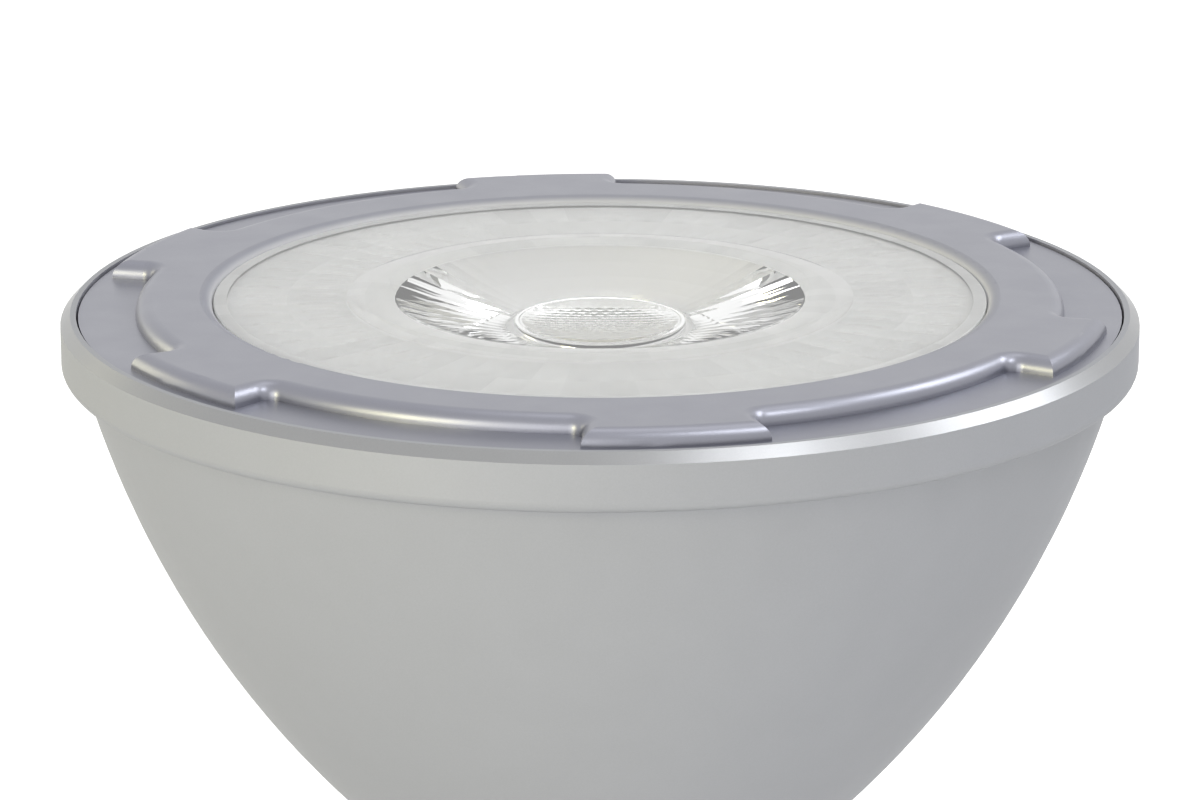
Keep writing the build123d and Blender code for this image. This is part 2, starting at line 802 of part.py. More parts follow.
with BuildPart() as neutral_wire:
    wire(
        [
            (wire_offset, wire_track, tongue_end_z + wire_lap),
            (wire_offset, wire_track, neutral_z),
            (sqrt(shell_bore**2 - (wire_track + wire_radius) ** 2), wire_track, neutral_z),
        ]
    )
neutral_wire.part.label = "neutral_wire"
export_step(neutral_wire.part, "parts/neutral_wire.step")
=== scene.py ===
"""Dresses a reflector lamp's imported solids: paint, clear lens, rolled screw shell and a plain studio."""

import math
import random
from collections import namedtuple

import bmesh
import bpy
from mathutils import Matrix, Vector


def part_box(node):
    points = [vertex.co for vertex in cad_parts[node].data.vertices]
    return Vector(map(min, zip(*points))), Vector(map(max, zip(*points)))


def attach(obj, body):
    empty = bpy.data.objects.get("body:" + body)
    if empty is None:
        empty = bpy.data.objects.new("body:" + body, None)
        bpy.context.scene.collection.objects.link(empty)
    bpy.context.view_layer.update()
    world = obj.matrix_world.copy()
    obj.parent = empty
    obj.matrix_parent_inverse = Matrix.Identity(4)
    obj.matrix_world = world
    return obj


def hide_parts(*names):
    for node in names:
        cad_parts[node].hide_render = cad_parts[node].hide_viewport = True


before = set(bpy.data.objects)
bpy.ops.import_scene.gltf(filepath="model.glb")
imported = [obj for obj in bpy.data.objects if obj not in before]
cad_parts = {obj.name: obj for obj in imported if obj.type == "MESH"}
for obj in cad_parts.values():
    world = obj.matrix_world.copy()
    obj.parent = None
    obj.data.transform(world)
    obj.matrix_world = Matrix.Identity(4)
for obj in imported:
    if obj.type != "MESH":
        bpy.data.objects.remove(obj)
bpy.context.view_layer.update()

bl_info = {
    "name": "Reflector lamp",
    "version": (1, 0, 0),
    "blender": (4, 5, 0),
    "location": "View3D > Sidebar > Lamp",
    "description": "Finishes and fine shapes of a reflector lamp built on its solids",
    "category": "Object",
}

MM = 0.001
BODY = "root"

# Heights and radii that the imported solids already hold
LENS_LOW, LENS_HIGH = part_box("lens")
SHELL_LOW, SHELL_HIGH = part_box("screw_shell")
FACE_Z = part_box("front_bezel")[1].z

# Facets round the lens, and the mesh columns that share them evenly
LENS_FACETS = 60
LENS_COLUMNS = 600
COLLIMATOR_ROWS = 5
PLATE_ROWS = 2

# Refraction of the lens's plastic, and the seed of its facets' tones
PLASTIC_IOR = 1.49
TONE_SEED = 38

# Finishes of the lens's faces
POLISHED = 0
ETCHED = 1
# The paler finish is a painted highlight: it stands in for the light the bead's outer half reflects
PAINTED_HIGHLIGHT = 2
BORDER = 3

# One ring of the lens's mesh; finish is that of the faces from this ring to the next
Ring = namedtuple(
    "Ring",
    "radius height facets smooth finish pillow flute relief",
    defaults=(0, False, POLISHED, 0.0, 0.0, 0.0),
)

# Mesh of the rolled screw shell, and the shares of its height over which shoulder and thread come and go
SHELL_COLUMNS = 145
SHELL_ROWS = 321
SHELL_SEAM = 0.01 * MM
SHOULDER = (-0.08, 0.17)
THREAD_START = (0.06, 0.24)
THREAD_STOP = (0.80, 0.92)
NECK_SHARE = 0.35

# Depths under the bezel's face of the window's round, of its part painted paler as a painted sheen, and of
# the rim's edge
WINDOW_DEPTH = 2.0 * MM
PAINTED_SHEEN_DEPTHS = (0.7 * MM, 0.05 * MM)
RIM_DEPTH = 6.2 * MM

# How far a face must turn to the axis, and a chamfer's face away from it and upwards
LEAST_TURN = 0.02
CHAMFER_TURN = 0.2

# Soft lights of the studio: place, side, power and colour
SOFTBOXES = {
    "top_softbox": ((0.10, 0.25, 1.05), 0.50, 0.6, (1.0, 1.0, 1.0)),
    "fill_softbox": ((-0.42, -0.90, 0.42), 0.80, 3.0, (1.0, 0.99, 0.97)),
    "warm_front_softbox": ((-0.62, -0.58, 0.40), 0.30, 1.8, (1.0, 0.94, 0.50)),
    "warm_side_softbox": ((-0.84, 0.48, 0.26), 0.45, 1.2, (1.0, 0.95, 0.60)),
    "cool_side_softbox": ((0.58, 0.24, 0.70), 0.34, 1.8, (0.95, 0.97, 1.0)),
    "cool_front_softbox": ((0.40, -0.34, 0.90), 0.30, 1.6, (0.95, 0.97, 1.0)),
}
FLOOR_REACH = 6.0
FLOOR_GLOW = 0.6


class LensSizes(bpy.types.PropertyGroup):
    """Sizes and colours of the lens."""

    plate_radius: bpy.props.FloatProperty(
        name="Plate radius", description="Radius of the plate in the window", default=43.4 * MM, unit="LENGTH"
    )
    plate_step: bpy.props.FloatProperty(
        name="Plate step", description="Height of the plate over its flange", default=1.7 * MM, unit="LENGTH"
    )
    plate_thickness: bpy.props.FloatProperty(
        name="Plate thickness", description="Thickness of the thin plate", default=1.2 * MM, unit="LENGTH"
    )
    plate_rim: bpy.props.FloatProperty(
        name="Plate rim",
        description="Width of the rim under the plate's edge",
        default=1.5 * MM,
        unit="LENGTH",
    )
    plate_edge: bpy.props.FloatProperty(
        name="Plate edge", description="Broken edge round the plate", default=0.1 * MM, unit="LENGTH"
    )
    flange_thickness: bpy.props.FloatProperty(
        name="Flange", description="Thickness of the flange", default=2.5 * MM, unit="LENGTH"
    )
    facet_relief: bpy.props.FloatProperty(
        name="Facet relief",
        description="Swell of each facet under the plate",
        default=0.06 * MM,
        unit="LENGTH",
    )
    flute_depth: bpy.props.FloatProperty(
        name="Flute depth",
        description="Hollow of each long facet of the collimator",
        default=0.012 * MM,
        unit="LENGTH",
    )
    # The paler ring is a painted highlight for the light the bead's outer half reflects
    painted_highlight_width: bpy.props.FloatProperty(
        name="Pale width",
        description="Width of the paler ring under the bead",
        default=2.1 * MM,
        unit="LENGTH",
    )
    bead_radius: bpy.props.FloatProperty(
        name="Bead radius", description="Inner radius of the low bead", default=22.9 * MM, unit="LENGTH"
    )
    bead_width: bpy.props.FloatProperty(
        name="Bead width", description="Width of the low bead", default=5.6 * MM, unit="LENGTH"
    )
    bead_height: bpy.props.FloatProperty(
        name="Bead height", description="Height of the low bead", default=0.35 * MM, unit="LENGTH"
    )
    collimator_radius: bpy.props.FloatProperty(
        name="Collimator radius", description="Radius under the plate", default=23.3 * MM, unit="LENGTH"
    )
    collimator_end: bpy.props.FloatProperty(
        name="Collimator end", description="Radius at the light source", default=10.6 * MM, unit="LENGTH"
    )
    collimator_depth: bpy.props.FloatProperty(
        name="Collimator depth", description="Height of the collimator", default=14.0 * MM, unit="LENGTH"
    )
    entry_wall: bpy.props.FloatProperty(
        name="Entry wall", description="Wall round the entry", default=0.9 * MM, unit="LENGTH"
    )
    entry_depth: bpy.props.FloatProperty(
        name="Entry depth", description="Depth of the entry over the source", default=4.6 * MM, unit="LENGTH"
    )
    entry_round: bpy.props.FloatProperty(
        name="Entry round",
        description="Round between the entry's wall and its top",
        default=0.8 * MM,
        unit="LENGTH",
    )
    entry_dome: bpy.props.FloatProperty(
        name="Entry dome", description="Drop of the dome in the entry", default=0.8 * MM, unit="LENGTH"
    )
    foot_gap: bpy.props.FloatProperty(
        name="Foot gap", description="Air between the foot and the holder", default=0.05 * MM, unit="LENGTH"
    )
    bump_pitch: bpy.props.FloatProperty(
        name="Bump pitch", description="Distance between the small bumps", default=1.27 * MM, unit="LENGTH"
    )
    bump_height: bpy.props.FloatProperty(
        name="Bump height", description="Height of each small bump", default=0.035 * MM, unit="LENGTH"
    )
    tint: bpy.props.FloatVectorProperty(
        name="Tint", description="Colour of the clear plastic", subtype="COLOR", default=(0.985, 0.99, 0.985)
    )
    milk: bpy.props.FloatVectorProperty(
        name="Milk", description="Colour of the etched faces", subtype="COLOR", default=(0.82, 0.825, 0.82)
    )
    # Colour of the painted highlight under the bead's outer half
    painted_light_colour: bpy.props.FloatVectorProperty(
        name="Pale",
        description="Colour of the paler etched ring",
        subtype="COLOR",
        default=(0.86, 0.86, 0.86),
    )
    border: bpy.props.FloatVectorProperty(
        name="Border",
        description="Colour of the etched border",
        subtype="COLOR",
        default=(0.66, 0.665, 0.67),
    )


class ShellSizes(bpy.types.PropertyGroup):
    """Sizes of the rolled screw shell."""

    pitch: bpy.props.FloatProperty(
        name="Pitch", description="Rise of the rolled thread in one turn", default=3.629 * MM, unit="LENGTH"
    )
    groove: bpy.props.FloatProperty(
        name="Groove", description="Depth of the rolled thread", default=0.85 * MM, unit="LENGTH"
    )
    sheet: bpy.props.FloatProperty(
        name="Sheet", description="Thickness of the shell's sheet metal", default=0.3 * MM, unit="LENGTH"
    )
    foot_radius: bpy.props.FloatProperty(
        name="Foot radius", description="Radius of the shell at its foot", default=8.7 * MM, unit="LENGTH"
    )
    metal: bpy.props.FloatVectorProperty(
        name="Metal", description="Colour of the plated shell", subtype="COLOR", default=(0.66, 0.64, 0.60)
    )


class FinishColours(bpy.types.PropertyGroup):
    """Colours of the lamp's finishes."""

    bowl: bpy.props.FloatVectorProperty(
        name="Bowl", description="Paint of the bowl", subtype="COLOR", default=(0.405, 0.412, 0.437)
    )
    bezel: bpy.props.FloatVectorProperty(
        name="Bezel", description="Paint of the front bezel", subtype="COLOR", default=(0.275, 0.279, 0.322)
    )
    # Paler paint low on the window's round: a painted sheen for the light that round reflects
    slope: bpy.props.FloatVectorProperty(
        name="Slope", description="Paint next to the lens", subtype="COLOR", default=(0.54, 0.54, 0.56)
    )
    chamfer: bpy.props.FloatVectorProperty(
        name="Chamfer", description="Paint on the rim's chamfer", subtype="COLOR", default=(0.33, 0.333, 0.34)
    )
    # Lighter paint inside the rim's lip: painted light that lifts the dark shade there
    lip: bpy.props.FloatVectorProperty(
        name="Lip", description="Paint inside the rim's lip", subtype="COLOR", default=(0.42, 0.42, 0.46)
    )
    cup: bpy.props.FloatVectorProperty(
        name="Cup", description="White cup behind the lens", subtype="COLOR", default=(0.92, 0.915, 0.905)
    )
    base: bpy.props.FloatVectorProperty(
        name="Base", description="Moulded base body", subtype="COLOR", default=(0.74, 0.74, 0.72)
    )
    phosphor: bpy.props.FloatVectorProperty(
        name="Phosphor", description="Light source's cover", subtype="COLOR", default=(0.50, 0.48, 0.40)
    )


class StageSizes(bpy.types.PropertyGroup):
    """Camera, floor and light of the studio."""

    camera_height: bpy.props.FloatProperty(
        name="Camera height", description="Height of the camera", default=0.28323, unit="LENGTH"
    )
    camera_distance: bpy.props.FloatProperty(
        name="Camera distance", description="Distance from the axis", default=0.57615, unit="LENGTH"
    )
    aim_height: bpy.props.FloatProperty(
        name="Aim height", description="Height that the camera looks at", default=0.1190, unit="LENGTH"
    )
    focal_length: bpy.props.FloatProperty(
        name="Focal length", description="Focal length of the camera in millimetres", default=158.86
    )
    plain_level: bpy.props.FloatProperty(
        name="Plain level", description="Light of the surroundings on matt surfaces", default=0.50
    )
    floor_tint: bpy.props.FloatVectorProperty(
        name="Floor", description="Colour of the floor", subtype="COLOR", default=(0.82, 0.82, 0.82)
    )


def new_material(name):
    """A material with an empty node tree, its shader and its output."""
    material = bpy.data.materials.new(name)
    material.use_nodes = True
    tree = material.node_tree
    tree.nodes.clear()
    output = tree.nodes.new("ShaderNodeOutputMaterial")
    shader = tree.nodes.new("ShaderNodeBsdfPrincipled")
    tree.links.new(shader.outputs["BSDF"], output.inputs["Surface"])
    return material, tree, shader


def grain(tree, scale, detail=2.0, stretch=None):
    """Noise on object coordinates, with scale in patches per metre."""
    place = tree.nodes.new("ShaderNodeTexCoord").outputs["Object"]
    if stretch is not None:
        mapping = tree.nodes.new("ShaderNodeMapping")
        mapping.inputs["Scale"].default_value = stretch
        tree.links.new(place, mapping.inputs["Vector"])
        place = mapping.outputs["Vector"]
    noise = tree.nodes.new("ShaderNodeTexNoise")
    noise.inputs["Scale"].default_value = scale
    noise.inputs["Detail"].default_value = detail
    tree.links.new(place, noise.inputs["Vector"])
    return noise.outputs["Fac"]


def blend_colours(tree, factor, first, second):
    """A colour between two, by a factor from 0 to 1."""
    mix = tree.nodes.new("ShaderNodeMix")
    mix.data_type = "RGBA"
    # A Mix node keeps sockets for numbers, vectors and colours under the same names
    ends = [socket for socket in mix.inputs if socket.type == "RGBA"]
    ends[0].default_value = (*first, 1)
    ends[1].default_value = (*second, 1)
    tree.links.new(factor, mix.inputs[0])
    return next(socket for socket in mix.outputs if socket.type == "RGBA")


def vary_colour(tree, shader, pattern, colour, spread):
    """The colour, a little darker and lighter along a pattern."""
    dark = [c * (1 - spread) for c in colour]
    light = [min(1.0, c * (1 + spread)) for c in colour]
    tree.links.new(blend_colours(tree, pattern, dark, light), shader.inputs["Base Color"])


def vary_roughness(tree, shader, pattern, low, high):
    """Roughness between two values along a pattern."""
    span = tree.nodes.new("ShaderNodeMapRange")
    span.inputs["From Min"].default_value = 0.3
    span.inputs["From Max"].default_value = 0.7
    span.inputs["To Min"].default_value = low
    span.inputs["To Max"].default_value = high
    tree.links.new(pattern, span.inputs["Value"])
    tree.links.new(span.outputs["Result"], shader.inputs["Roughness"])


def add_relief(tree, shader, pattern, strength, distance):
    """Fine relief along a pattern."""
    bump = tree.nodes.new("ShaderNodeBump")
    bump.inputs["Strength"].default_value = strength
    bump.inputs["Distance"].default_value = distance
    tree.links.new(pattern, bump.inputs["Height"])
    tree.links.new(bump.outputs["Normal"], shader.inputs["Normal"])


def metallic_paint(name, colour, low, high, metallic=0.9, edge=1.0):
    """Satin silver paint: fine flakes and slight orange peel, duller towards the edge where asked."""
    material, tree, shader = new_material(name)
    shader.inputs["Metallic"].default_value = metallic
    shader.inputs["Specular IOR Level"].default_value = 0.5 * edge
    shader.inputs["Specular Tint"].default_value = (edge, edge, edge, 1)
    shader.inputs["Coat Weight"].default_value = 0.12 * edge
    shader.inputs["Coat Roughness"].default_value = 0.25
    vary_colour(tree, shader, grain(tree, 5200.0, 3.0), colour, 0.05)
    vary_roughness(tree, shader, grain(tree, 160.0, 3.0), low, high)
    add_relief(tree, shader, grain(tree, 900.0, 2.0), 0.05, 0.00003)
    return material


def moulded_plastic(name, colour, low, high, relief=0.08):
    """Moulded plastic with faint flow marks and a fine texture."""
    material, tree, shader = new_material(name)
    vary_colour(tree, shader, grain(tree, 90.0, 4.0), colour, 0.03)
    vary_roughness(tree, shader, grain(tree, 420.0, 3.0), low, high)
    add_relief(tree, shader, grain(tree, 2600.0, 2.0), relief, 0.00004)
    return material


def bare_metal(name, colour, low, high, stretch=None):
    """Bare or plated metal with fine handling marks."""
    material, tree, shader = new_material(name)
    shader.inputs["Metallic"].default_value = 1.0
    vary_colour(tree, shader, grain(tree, 130.0, 4.0, stretch), colour, 0.07)
    vary_roughness(tree, shader, grain(tree, 700.0, 4.0, stretch), low, high)
    add_relief(tree, shader, grain(tree, 1800.0, 3.0, stretch), 0.06, 0.00003)
    return material


def clear_plastic(name, colour, roughness):
    """Clear moulded plastic."""
    material, tree, shader = new_material(name)
    shader.inputs["Base Color"].default_value = (*colour, 1)
    shader.inputs["IOR"].default_value = PLASTIC_IOR
    shader.inputs["Transmission Weight"].default_value = 1.0
    shader.inputs["Roughness"].default_value = roughness
    return material


def etched_plastic(name, colour):
    """Clear plastic with a milky etched face, whose facets differ a little in tone."""
    material, tree, shader = new_material(name)
    shader.inputs["IOR"].default_value = PLASTIC_IOR
    shader.inputs["Transmission Weight"].default_value = 0.3
    tone = tree.nodes.new("ShaderNodeAttribute")
    tone.attribute_name = "tone"
    vary_colour(tree, shader, tone.outputs["Fac"], colour, 0.06)
    vary_roughness(tree, shader, grain(tree, 600.0, 3.0), 0.35, 0.45)
    return material


def dress(node, material):
    """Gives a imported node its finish."""
    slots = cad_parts[node].data.materials
    slots.clear()
    slots.append(material)


def painted_sheen_paint(name, colour, painted_light_colour, low, high):
    """Dull paint that pales from one height down to another, next to the milky plate: the paleness is a
    painted sheen, standing in for the light that the window's round reflects.
    """
    material, tree, shader = new_material(name)
    place = tree.nodes.new("ShaderNodeSeparateXYZ")
    tree.links.new(tree.nodes.new("ShaderNodeTexCoord").outputs["Object"], place.inputs[0])
    step = smooth_step(tree, place.outputs["Z"], low, high)
    tree.links.new(blend_colours(tree, step, painted_light_colour, colour), shader.inputs["Base Color"])
    vary_roughness(tree, shader, grain(tree, 160.0, 3.0), 0.5, 0.6)
    return material


def inward(face):
    """How far a face looks at the lamp's axis."""
    return -(face.normal.x * face.center.x + face.normal.y * face.center.y) / face.center.xy.length


def looks_in(face):
    """Whether a face looks at the axis at all."""
    return inward(face) > LEAST_TURN


def looks_out_and_up(face):
    """Whether a face slopes, as a chamfer on an outer edge does."""
    return inward(face) < -CHAMFER_TURN and face.normal.z > CHAMFER_TURN


def paint_faces(node, material, low, wanted):
    """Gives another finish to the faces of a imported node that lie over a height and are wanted."""
    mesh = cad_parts[node].data
    mesh.materials.append(material)
    for face in mesh.polygons:
        if face.center.z > low and wanted(face):
            face.material_index = len(mesh.materials) - 1


def place_piece(name, mesh, node):
    """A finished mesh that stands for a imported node."""
    piece = bpy.data.objects.new(name, mesh)
    bpy.context.scene.collection.objects.link(piece)
    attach(piece, BODY)
    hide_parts(node)
    return piece


def facet_radius(radius, facets, column):
    """Radius of a polygon with its corners on a circle, or of the circle itself."""
    if not facets:
        return radius
    half = math.pi / facets
    angle = 2 * math.pi * column / LENS_COLUMNS
    return radius * math.cos(half) / math.cos(angle % (2 * half) - half)


def arc_rise(span, rise, place):
    """Height of a flat arc over its chord, at a place measured from the chord's middle."""
    arc = (span**2 / 4 + rise**2) / (2 * rise)
    return rise - arc + math.sqrt(arc**2 - place**2)


def front_rings(sizes, front):
    """The low bead round the clear window, and the plate out to its flange."""
    rings = []
    steps = 16
    for i in range(steps + 1):
        place = sizes.bead_width * (i / steps - 0.5)
        radius = sizes.bead_radius + sizes.bead_width / 2 + place
        rise = arc_rise(sizes.bead_width, sizes.bead_height, place)
        rings.append(Ring(radius, front + rise, smooth=0 < i < steps))
    flange_top = front - sizes.plate_step
    rings.append(Ring(sizes.plate_radius - sizes.plate_rim, front, finish=BORDER))
    rings.append(Ring(sizes.plate_radius - sizes.plate_edge, front, finish=ETCHED))
    rings.append(Ring(sizes.plate_radius, front - sizes.plate_edge, finish=ETCHED))
    rings.append(Ring(sizes.plate_radius, flange_top, finish=ETCHED))
    rings.append(Ring(LENS_HIGH.x, flange_top, finish=ETCHED))
    return rings


def plate_rings(sizes, flange_bottom, under):
    """The flange's foot, the rim and the milky underside of the plate, painted paler under the bead's outer
    half as a painted highlight for the light the bead reflects.
    """
    outer = sizes.plate_radius - sizes.plate_rim
    bead_edge = sizes.bead_radius + sizes.bead_width
    rings = [Ring(LENS_HIGH.x, flange_bottom, finish=ETCHED), Ring(outer, flange_bottom, finish=ETCHED)]
    steps = 8
    for i in range(PLATE_ROWS * steps):
        radius = outer + (bead_edge - outer) * i / (PLATE_ROWS * steps)
        swell = sizes.facet_relief * math.sin(math.pi * (i % steps) / steps)
        rings.append(Ring(radius, under, smooth=i % steps > 0, finish=ETCHED, pillow=swell))
    # Painted highlight: a paler ring under the bead's outer half
    rings.append(Ring(bead_edge, under, finish=PAINTED_HIGHLIGHT))
    rings.append(Ring(bead_edge - sizes.painted_highlight_width, under, finish=ETCHED))
    rings.append(Ring(sizes.collimator_radius + sizes.plate_edge, under, finish=ETCHED))
    return rings


def collimator_rings(sizes, under):
    """The collimator's facets, its foot and the entry's wall."""
    rings = []
    end = sizes.collimator_end
    rate = (sizes.collimator_radius**2 - end**2) / sizes.collimator_depth
    for i in range(COLLIMATOR_ROWS, -1, -1):
        rise = sizes.collimator_depth * (i / COLLIMATOR_ROWS) ** 2
        radius = math.sqrt(end**2 + rate * rise)
        height = under - sizes.collimator_depth + rise
        inside = 0 < i < COLLIMATOR_ROWS
        rings.append(Ring(radius, height, facets=LENS_FACETS, smooth=inside, flute=sizes.flute_depth))
    foot = end * math.cos(math.pi / LENS_FACETS)
    bottom = LENS_LOW.z + sizes.foot_gap
    rings.append(Ring(foot, under - sizes.collimator_depth))
    rings.append(Ring(foot, bottom))
    rings.append(Ring(end - sizes.entry_wall, bottom))
    return rings


def entry_rings(sizes):
    """The rounded corner and the domed top of the entry, close enough for its small bumps."""
    rings = []
    entry = sizes.collimator_end - sizes.entry_wall
    top = LENS_LOW.z + sizes.entry_depth
    corner = entry - sizes.entry_round
    corner_top = top - arc_rise(2 * entry, sizes.entry_dome, corner)
    steps = 6
    for i in range(steps):
        turn = 0.5 * math.pi * i / steps
        radius = corner + sizes.entry_round * math.cos(turn)
        height = corner_top - sizes.entry_round * (1 - math.sin(turn))
        rings.append(Ring(radius, height, smooth=True))
    steps = 58
    fade = 3
    for i in range(steps, 0, -1):
        radius = corner * i / steps
        drop = arc_rise(2 * entry, sizes.entry_dome, radius)
        rings.append(Ring(radius, top - drop, smooth=True, relief=min(1.0, (steps - i) / fade)))
    return rings


def lens_mesh(name, sizes):
    """The closed lens through its rings, with sharp edges at its corners and between its facets."""
    front = LENS_HIGH.z - sizes.bead_height
    under = front - sizes.plate_thickness
    flange_bottom = front - sizes.plate_step - sizes.flange_thickness
    rings = front_rings(sizes, front) + plate_rings(sizes, flange_bottom, under)
    rings += collimator_rings(sizes, under) + entry_rings(sizes)
    shape = bmesh.new()
    finish = shape.faces.layers.int.new("finish")
    tone = shape.faces.layers.float.new("tone")
    tones = random.Random(TONE_SEED)
    relief = shape.verts.layers.float.new("relief")
    columns = range(LENS_COLUMNS)
    share = LENS_COLUMNS // LENS_FACETS
    first = shape.verts.new((0, 0, front))
    last = shape.verts.new((0, 0, LENS_LOW.z + sizes.entry_depth - sizes.entry_dome))
    last[relief] = 1.0
    loops = []
    for ring in rings:
        loop = []
        for j in columns:
            angle = 2 * math.pi * j / LENS_COLUMNS
            across = math.sin(math.pi * (j % share) / share)
            reach = facet_radius(ring.radius, ring.facets, j) - ring.flute * across
            swell = ring.pillow * across
            corner = shape.verts.new((reach * math.cos(angle), reach * math.sin(angle), ring.height - swell))
            corner[relief] = ring.relief
            loop.append(corner)
        loops.append(loop)
    for j in columns:
        k = (j + 1) % LENS_COLUMNS
        shape.faces.new((first, loops[0][j], loops[0][k]))
        shape.faces.new((last, loops[-1][k], loops[-1][j]))
    for ring, inner, outer in zip(rings, loops, loops[1:]):
        if not ring.smooth:
            shades = [tones.random() for _ in range(LENS_FACETS)]
        for j in columns:
            k = (j + 1) % LENS_COLUMNS
            face = shape.faces.new((inner[j], outer[j], outer[k], inner[k]))
            face[finish] = ring.finish
            face[tone] = shades[j // share]
    for face in shape.faces:
        face.smooth = True
    for ring, loop in zip(rings, loops):
        if not ring.smooth:
            for j in columns:
                shape.edges.get((loop[j], loop[(j + 1) % LENS_COLUMNS])).smooth = False
    for ring, inner, outer in zip(rings, loops, loops[1:]):
        if ring.finish == ETCHED or ring.facets:
            for j in range(0, LENS_COLUMNS, share):
                shape.edges.get((inner[j], outer[j])).smooth = False
    mesh = bpy.data.meshes.new(name)
    shape.to_mesh(mesh)
    shape.free()
    return mesh


def group_input(tree, name, kind, default):
    """A named input of a geometry tree."""
    socket = tree.interface.new_socket(name=name, in_out="INPUT", socket_type=kind)
    if default is not None:
        socket.default_value = default
    return socket


def math_node(tree, operation, a, b=None):
    """One step of arithmetic in a node tree; a and b are sockets or numbers."""
    node = tree.nodes.new("ShaderNodeMath")
    node.operation = operation
    for socket, value in zip(node.inputs, (a, b)):
        if value is None:
            continue
        if isinstance(value, (int, float)):
            socket.default_value = value
        else:
            tree.links.new(value, socket)
    return node.outputs[0]


def named_attribute(tree, name, kind):
    """A value that the starting mesh carries."""
    node = tree.nodes.new("GeometryNodeInputNamedAttribute")
    node.data_type = kind
    node.inputs["Name"].default_value = name
    return node.outputs[0]


def smooth_step(tree, value, low, high):
    """A soft step from 0 at low to 1 at high."""
    node = tree.nodes.new("ShaderNodeMapRange")
    node.interpolation_type = "SMOOTHSTEP"
    for name, bound in (("From Min", low), ("From Max", high)):
        if isinstance(bound, (int, float)):
            node.inputs[name].default_value = bound
        else:
            tree.links.new(bound, node.inputs[name])
    tree.links.new(value, node.inputs["Value"])
    return node.outputs["Result"]


def finish_tree(tree, geometry, material, marks=None, marked=()):
    """Ends a geometry tree with real geometry and its material, and other materials on marked faces."""
    realize = tree.nodes.new("GeometryNodeRealizeInstances")
    paint = tree.nodes.new("GeometryNodeSetMaterial")
    output = tree.nodes.new("NodeGroupOutput")
    tree.interface.new_socket(name="Geometry", in_out="OUTPUT", socket_type="NodeSocketGeometry")
    tree.links.new(geometry, realize.inputs[0])
    tree.links.new(realize.outputs[0], paint.inputs["Geometry"])
    tree.links.new(material, paint.inputs["Material"])
    for mark in marked:
        over = tree.nodes.new("GeometryNodeSetMaterial")
        tree.links.new(paint.outputs[0], over.inputs["Geometry"])
        tree.links.new(math_node(tree, "COMPARE", marks, mark), over.inputs["Selection"])
        tree.links.new(marked[mark], over.inputs["Material"])
        paint = over
    tree.links.new(paint.outputs[0], output.inputs[0])


def grown_mesh(name, start, tree, values):
    """The plain mesh that a geometry tree makes of a starting mesh."""
    holder = bpy.data.objects.new(name + "_start", start)
    bpy.context.scene.collection.objects.link(holder)
    modifier = holder.modifiers.new("Shape", "NODES")
    modifier.node_group = tree
    for item in tree.interface.items_tree:
        if item.in_out == "INPUT" and item.name in values:
            modifier[item.identifier] = values[item.name]
    graph = bpy.context.evaluated_depsgraph_get()
    mesh = bpy.data.meshes.new_from_object(holder.evaluated_get(graph), depsgraph=graph)
    holder.modifiers.clear()
    bpy.data.objects.remove(holder)
    mesh.name = name
    return mesh


def relief_tree():
    """Lowers small round bumps in a honeycomb over the top of the lens's entry."""
    tree = bpy.data.node_groups.new("Entry relief", "GeometryNodeTree")
    tree.interface.new_socket(name="Geometry", in_out="INPUT", socket_type="NodeSocketGeometry")
    for name in ("Pitch", "Height"):
        group_input(tree, name, "NodeSocketFloat", 0.0)
    for name in ("Material", "Etched Material", "Painted Highlight Material", "Border Material"):
        group_input(tree, name, "NodeSocketMaterial", None)
    source = tree.nodes.new("NodeGroupInput").outputs
    place = tree.nodes.new("GeometryNodeInputPosition").outputs[0]
    split = tree.nodes.new("ShaderNodeSeparateXYZ")
    tree.links.new(place, split.inputs[0])
    row = math_node(tree, "MULTIPLY", source["Pitch"], math.sqrt(3))
    distances = []
    for share in (0.0, 0.5):
        squares = []
        for axis, step in (("X", source["Pitch"]), ("Y", row)):
            half = math_node(tree, "MULTIPLY", step, 0.5)
            shifted = math_node(tree, "ADD", split.outputs[axis], math_node(tree, "MULTIPLY", step, share))
            wrap = tree.nodes.new("ShaderNodeMath")
            wrap.operation = "WRAP"
            tree.links.new(shifted, wrap.inputs[0])
            tree.links.new(half, wrap.inputs[1])
            tree.links.new(math_node(tree, "MULTIPLY", half, -1.0), wrap.inputs[2])
            squares.append(math_node(tree, "POWER", math_node(tree, "ABSOLUTE", wrap.outputs[0]), 2.0))
        distances.append(math_node(tree, "ADD", *squares))
    nearest = math_node(tree, "MINIMUM", *distances)
    corner = math_node(tree, "POWER", math_node(tree, "DIVIDE", source["Pitch"], math.sqrt(3)), 2.0)
    bump = math_node(tree, "SUBTRACT", 1.0, math_node(tree, "DIVIDE", nearest, corner))
    relief = named_attribute(tree, "relief", "FLOAT")
    drop = math_node(tree, "MULTIPLY", math_node(tree, "MULTIPLY", bump, source["Height"]), relief)
    offset = tree.nodes.new("ShaderNodeCombineXYZ")
    tree.links.new(math_node(tree, "MULTIPLY", drop, -1.0), offset.inputs["Z"])
    move = tree.nodes.new("GeometryNodeSetPosition")
    tree.links.new(source["Geometry"], move.inputs["Geometry"])
    tree.links.new(offset.outputs[0], move.inputs["Offset"])
    marked = {
        ETCHED: source["Etched Material"],
        PAINTED_HIGHLIGHT: source["Painted Highlight Material"],
        BORDER: source["Border Material"],
    }
    finish_tree(tree, move.outputs[0], source["Material"], named_attribute(tree, "finish", "INT"), marked)
    return tree


